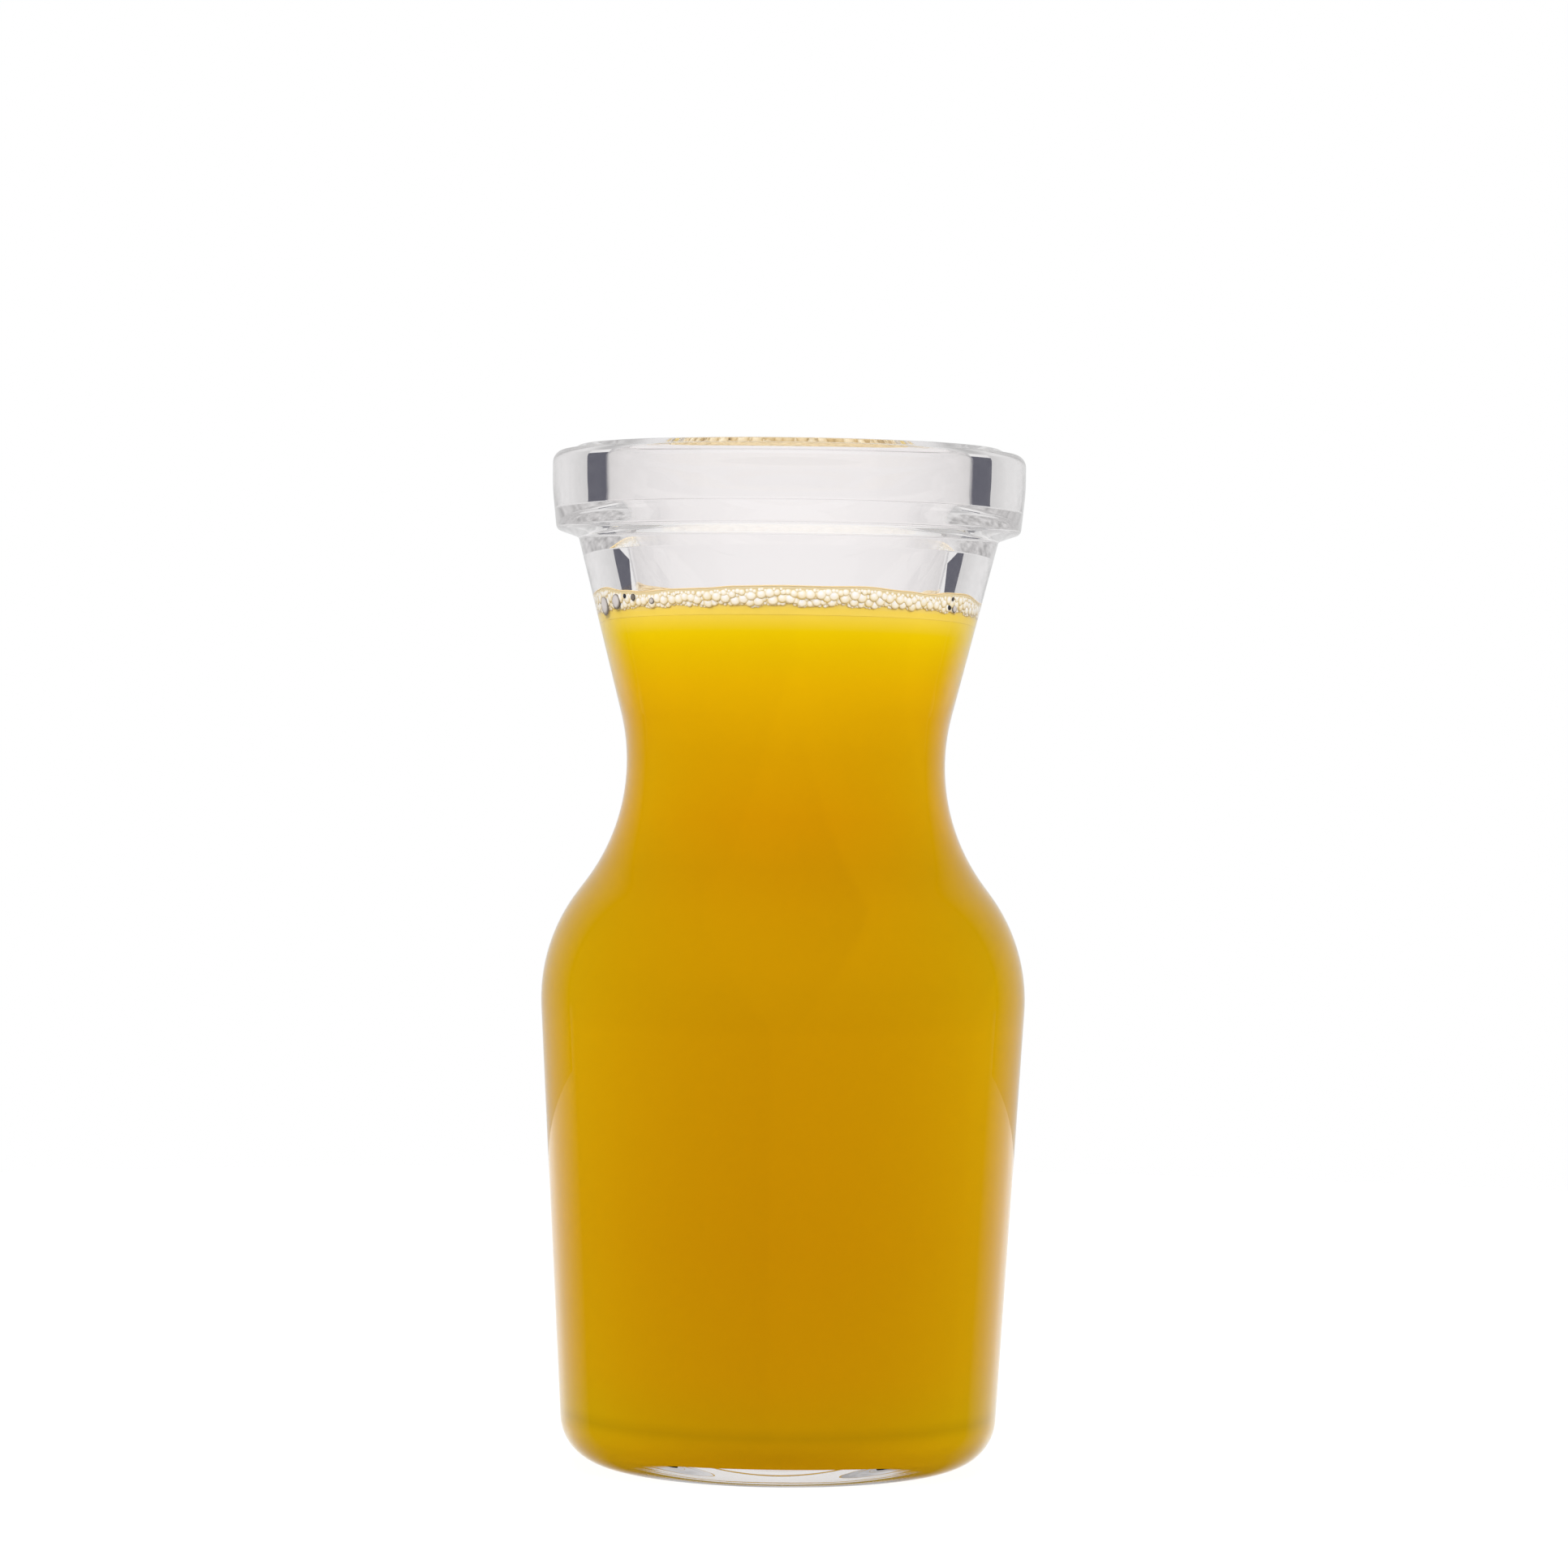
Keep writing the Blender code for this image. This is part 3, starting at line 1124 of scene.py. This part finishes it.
    def film(self, look: Material) -> Object:
        """Makes the bead of juice along the wet edge, a thin tube carried round the glass.

        Point (i, j) lies f from the edge's point at angle a_j, in the plane through the
        axis: (r_j + f cos b_i, h_j + f sin b_i), where b_i goes once round the tube.

        Args:
            look: the piece's material.

        Returns:
            The new piece.
        """
        angle = once_round(self.steps)
        edge = self.edge(angle)
        rim = self.wall_radius(edge) - self.film_sunk * self.film_r
        tube = once_round(self.film_sides)[:, None]
        reach = rim + self.film_r * np.cos(tube)
        points = about_axis(reach, angle, edge + self.film_r * np.sin(tube)).reshape(-1, 3)
        index = np.arange(len(points)).reshape(self.film_sides, self.steps)
        quads = grid_quads(np.pad(index, ((0, 1), (0, 1)), mode="wrap").T)
        return mesh_piece("froth_edge_film", points, [quads], look)

    def build(
        self, finish: WetFroth, shaded_top: ShadedFrothTop, film: JuiceFilm, clear: ClearBubble
    ) -> list[Object]:
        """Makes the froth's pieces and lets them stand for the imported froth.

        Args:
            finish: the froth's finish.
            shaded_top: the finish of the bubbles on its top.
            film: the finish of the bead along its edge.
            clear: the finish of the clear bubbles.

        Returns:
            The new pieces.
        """
        look = finish.material()
        pieces = [
            self.body(look),
            self.wall_bubbles(look),
            self.top_bubbles(shaded_top.material()),
            self.film(film.material()),
            self.large_clear_bubbles(clear.material()),
        ]
        for piece in pieces:
            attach(piece, "root")
            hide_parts("froth")
        return pieces


@dataclass(frozen=True)
class Card:
    """An upright sheet of the stage, bent round the bottle.

    Angles are in degrees from straight behind the bottle, positive to the left as the
    camera sees it. Heights are in metres from the table. Light is the radiance that
    the sheet sends out straight behind the bottle, fade the share of it that is lost by
    the angle of the sheet's edge, and top_fade the share that is lost by its top.
    """

    name: str
    start: float
    end: float
    low: float
    high: float
    light: float
    fade: float
    rays: tuple[Ray, ...]
    colour: str = "FFFFFF"
    top_fade: float = 0.0


@dataclass(frozen=True)
class Lamp:
    """A square soft lamp: where it hangs, its side in metres and its power in watts."""

    name: str
    place: Corner
    size: float
    power: float


@dataclass
class Studio:
    """A white table before a lit backdrop, dark cards beside it, and soft lamps."""

    table_r: float = 0.45
    table_middle_r: float = 0.0005
    table_rings: int = 24
    table_steps: int = 144
    drop: float = 0.0001
    card_distance: float = 0.45
    card_columns: int = 45
    card_rows: int = 9
    fade_power: float = 1.5
    sheen_light: float = 1.05
    sheen_full: float = 25.0
    sheen_end: float = 62.0
    sheen_level: Pair = (-0.055, -0.095)
    sheen_steep: Pair = (-0.25, -0.60)
    dip: float = 0.40
    dip_at: float = 58.0
    dip_width: float = 16.0
    room_diffuse: float = 0.92
    room_mirrored: float = 0.03
    room_through: float = 0.95
    cards: tuple[Card, ...] = (
        Card("backdrop", -44.0, 44.0, 0.0, 0.60, 1.04, 0.30, (Ray.TRANSMISSION,)),
        Card("backdrop_sheen", -62.0, 62.0, 0.0, 0.60, 0.85, 1.0, (Ray.GLOSSY,), "FFFFFF", 1.0),
        Card("card_left", 44.0, 64.0, 0.056, 0.217, 0.15, 0.0, (Ray.TRANSMISSION,), "E2E4FF"),
        Card("card_right", -64.0, -44.0, 0.056, 0.217, 0.15, 0.0, (Ray.TRANSMISSION,), "E2E4FF"),
        Card("wing_left", 64.0, 130.0, 0.0, 0.60, 0.60, 0.0, (Ray.TRANSMISSION,)),
        Card("wing_right", -130.0, -64.0, 0.0, 0.60, 0.60, 0.0, (Ray.TRANSMISSION,)),
    )
    lamps: tuple[Lamp, ...] = (
        Lamp("lamp_above", (0.0, 0.25, 0.9), 0.8, 7.0),
        Lamp("lamp_left", (-0.8, -0.5, 0.6), 0.6, 7.5),
        Lamp("lamp_right", (0.8, -0.5, 0.6), 0.6, 7.5),
    )
    lamp_aim: Corner = (0.0, 0.0, 0.06)

    @staticmethod
    def seen_only_by(piece: Object, *rays: Ray) -> None:
        """Hides a stage piece from every kind of ray but the ones named."""
        for ray in Ray:
            setattr(piece, ray.value, ray in rays)

    def stand(self, card: Card) -> Object:
        """Makes one card.

        Point (i, j) is (-d sin a_i, d cos a_i, h_j): a_i turns from the card's start
        to its end, d is its distance, and h_j rises from its foot to its top. Its light
        is l (1 - f |a_i / e|^p) (1 - g s_j^2), with the fade f, the power p, the edge's
        angle e, the top's fade g and the share s_j of its height.

        Args:
            card: what to make.

        Returns:
            The new sheet.
        """
        degrees = np.linspace(card.start, card.end, self.card_columns)[:, None]
        share = np.linspace(0.0, 1.0, self.card_rows)
        height = card.low - self.drop + (card.high - card.low + self.drop) * share
        points = about_axis(self.card_distance, np.radians(degrees + 90.0), height)
        index = np.arange(points.size // 3).reshape(points.shape[:2])
        look = LitSheet(card.name, card.colour)
        sheet = mesh_piece(card.name, points.reshape(-1, 3), [grid_quads(index.T)], look.material())
        kept = 1 - card.fade * np.abs(degrees / card.end) ** self.fade_power
        paint(sheet, look.layer, (card.light * kept * (1 - card.top_fade * share**2)).ravel())
        self.seen_only_by(sheet, *card.rays)
        return sheet

    def table_top(self, name: str, look: Material) -> Object:
        """Makes a flat round sheet at the table's height.

        Point (i, j) is at radius r_i and angle a_j, and the smallest ring is one face.

        Args:
            name: the sheet's name.
            look: its material.

        Returns:
            The new sheet.
        """
        reach = np.geomspace(self.table_middle_r, self.table_r, self.table_rings)[:, None]
        points = about_axis(reach, once_round(self.table_steps), -self.drop).reshape(-1, 3)
        index = np.arange(len(points)).reshape(self.table_rings, self.table_steps)
        quads = grid_quads(np.pad(index, ((0, 0), (0, 1)), mode="wrap"))
        sheet = mesh_piece(name, points, [quads, index[:1]], look)
        return sheet

    def lay_table(self) -> None:
        """Lays the table, and the white that the glass shows of it.

        That white is 1 - c exp(-((|a| - b) / w)^2) at the angle a from straight behind
        the bottle, as the dark cards, which stand about b, darken the table by c.
        """
        table = self.table_top("table", LitTable().material())
        self.seen_only_by(table, Ray.CAMERA, Ray.DIFFUSE, Ray.SHADOW)
        look = LitSheet("table_through_glass")
        under = self.table_top(look.name, look.material())
        places = np.empty(3 * len(under.data.vertices))
        under.data.vertices.foreach_get("co", places)
        x, y, _ = places.reshape(-1, 3).T
        away = (np.abs(np.degrees(np.arctan2(x, y))) - self.dip_at) / self.dip_width
        paint(under, look.layer, 1 - self.dip * np.exp(-(away**2)))
        self.seen_only_by(under, Ray.TRANSMISSION)

    def hang(self, lamp: Lamp) -> None:
        """Hangs a lamp that points at the bottle's middle and shows in no glass.

        Args:
            lamp: what to hang.
        """
        data = bpy.data.lights.new(lamp.name, "AREA")
        data.size = lamp.size
        data.energy = lamp.power
        made = bpy.data.objects.new(lamp.name, data)
        made.location = lamp.place
        aim = Vector(self.lamp_aim) - made.location
        made.rotation_euler = aim.to_track_quat("-Z", "Y").to_euler()
        made.visible_glossy = False
        made.visible_transmission = False
        bpy.context.scene.collection.objects.link(made)

    def mirrored_light(self, tree: NodeTree) -> Node:
        """The radiance of what the glass mirrors, by direction.

        Below the horizon lies the glossy table: its light falls evenly from full to
        none as the direction turns away from straight behind the bottle, as it nears
        the horizon, and as it turns down to the bottle's own foot. Above the horizon
        the room is dark.

        Args:
            tree: the room's node tree.

        Returns:
            The node that gives the radiance.
        """
        place = add_node(tree, "TexCoord").outputs["Generated"]
        _, behind = level_part(tree, place)
        turned = add_node(tree, "Math", None, {0: behind}, operation="ARCCOSINE")
        fall = add_node(
            tree, "MapRange",
            {
                "From Min": math.radians(self.sheen_full),
                "From Max": math.radians(self.sheen_end),
                "To Min": self.sheen_light,
                "To Max": 0.0,
            },
            {"Value": turned},
        )
        tilt = add_node(tree, "SeparateXYZ", None, {"Vector": place}).outputs["Z"]
        below = add_node(
            tree, "MapRange",
            {"From Min": self.sheen_level[0], "From Max": self.sheen_level[1]},
            {"Value": tilt},
        )
        steep = add_node(
            tree, "MapRange",
            {"From Min": self.sheen_steep[1], "From Max": self.sheen_steep[0]},
            {"Value": tilt},
        )
        seen = add_node(tree, "Math", None, {0: steep, 1: below}, operation="MULTIPLY")
        return add_node(
            tree, "Math", {2: self.room_mirrored}, {0: fall, 1: seen}, operation="MULTIPLY_ADD"
        )

    def light_room(self) -> None:
        """Lights the room: white to the camera, and by its own amount to other rays."""
        world = bpy.data.worlds.new("studio_room")
        world.use_nodes = True
        tree = world.node_tree
        tree.nodes.clear()
        white = {"Color": linear("FFFFFF")}
        path = add_node(tree, "LightPath")
        shown = add_node(tree, "Background", {**white, "Strength": self.room_diffuse})
        mirrored = add_node(tree, "Background", white, {"Strength": self.mirrored_light(tree)})
        through = add_node(tree, "Background", {**white, "Strength": self.room_through})
        seen = add_node(tree, "Background", {**white, "Strength": 1.0})
        for kind, light in (
            ("Is Reflection Ray", mirrored),
            ("Is Transmission Ray", through),
            ("Is Camera Ray", seen),
        ):
            links = {0: path.outputs[kind], 1: shown, 2: light}
            shown = add_node(tree, "MixShader", None, links)
        add_node(tree, "OutputWorld", None, {"Surface": shown})
        bpy.context.scene.world = world

    def build(self) -> None:
        """Sets the table, the cards, the lamps and the room."""
        self.lay_table()
        for card in self.cards:
            self.stand(card)
        for lamp in self.lamps:
            self.hang(lamp)
        self.light_room()


@dataclass
class PhotoCamera:
    """The camera that took the photo, level with the bottle's waist and close to upright."""

    distance: float = 0.7032
    height: float = 0.1033
    aside: float = -0.00022
    dip: float = 0.850
    roll: float = 0.7036
    lens: float = 118.04
    sensor: float = 36.0
    seen_from_to: Pair = (0.01, 50.0)

    def build(self) -> None:
        """Makes the camera and gives it to the scene."""
        data = bpy.data.cameras.new("photo_camera")
        data.sensor_width = self.sensor
        data.lens = self.lens
        data.clip_start, data.clip_end = self.seen_from_to
        camera = bpy.data.objects.new("photo_camera", data)
        camera.matrix_world = (
            Matrix.Translation((self.aside, -self.distance, self.height))
            @ Matrix.Rotation(math.radians(90.0 - self.dip), 4, "X")
            @ Matrix.Rotation(math.radians(self.roll), 4, "Z")
        )
        bpy.context.scene.collection.objects.link(camera)
        bpy.context.scene.camera = camera


def main() -> None:
    """Builds the bottle, the juice, the froth and the studio, in that order."""
    logging.basicConfig(level=logging.INFO, format="%(name)s: %(message)s")
    bpy.context.scene.view_settings.view_transform = "Standard"
    PhotoCamera().build()
    glass = GlassBottle(height=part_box("bottle")[1].z)
    juice_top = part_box("juice")[1].z
    froth_low, froth_high = (corner.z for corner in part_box("froth"))
    pieces = [
        glass.build(ClearGlass()),
        JuiceFill(glass, juice_top).build(CloudyJuice()),
        *Froth(glass, froth_low, froth_high).build(
            WetFroth(), ShadedFrothTop(), JuiceFilm(), ClearBubble()
        ),
    ]
    for piece in pieces:
        LOG.info("%s: %d points, %d faces", piece.name, len(piece.data.vertices),
                 len(piece.data.polygons))
    Studio().build()


if __name__ == "__main__":
    main()
